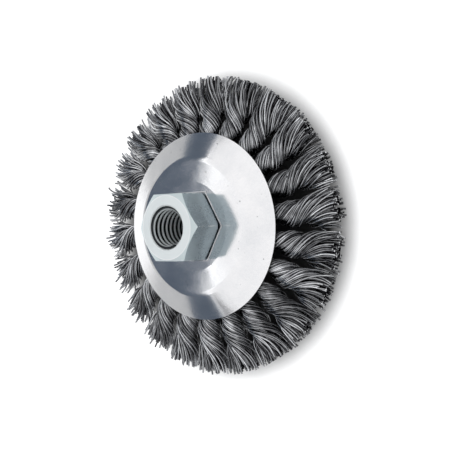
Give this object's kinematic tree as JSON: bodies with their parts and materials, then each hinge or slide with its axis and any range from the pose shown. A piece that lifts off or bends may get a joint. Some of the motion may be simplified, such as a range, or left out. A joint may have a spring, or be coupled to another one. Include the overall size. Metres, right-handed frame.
{
  "type": "knotted wire bevel brush",
  "caption": "Round wire brush with twisted steel wire knots on a bevelled metal cup and a hexagonal hub with a threaded bore.",
  "frame": {"origin": "bottom centre: the spindle axis at the plane of the wire tips", "axes": "+Z along the spindle axis, from the wire tips to the hexagon's face"},
  "size_m": [0.1036, 0.1036, 0.0307],
  "materials": {
    "zinc_hub": "satin zinc plate",
    "zinc_cup": "bright zinc plate, finely scratched",
    "plain_steel": "plain rolled steel",
    "wire_steel": "dark tempered steel wire"
  },
  "bodies": {
    "root": {"threaded_hub": "zinc_hub", "bevel_cup": "zinc_cup", "spacer_ring": "plain_steel", "knot_disc": "plain_steel", "front_plate": "zinc_cup", "knot_01": "wire_steel", "knot_02": "wire_steel", "knot_03": "wire_steel", "knot_04": "wire_steel", "knot_05": "wire_steel", "knot_06": "wire_steel", "knot_07": "wire_steel", "knot_08": "wire_steel", "knot_09": "wire_steel", "knot_10": "wire_steel", "knot_11": "wire_steel", "knot_12": "wire_steel", "knot_13": "wire_steel", "knot_14": "wire_steel", "knot_15": "wire_steel", "knot_16": "wire_steel", "knot_17": "wire_steel", "knot_18": "wire_steel", "knot_19": "wire_steel", "knot_20": "wire_steel", "knot_21": "wire_steel", "knot_22": "wire_steel"}
  },
  "joints": []
}
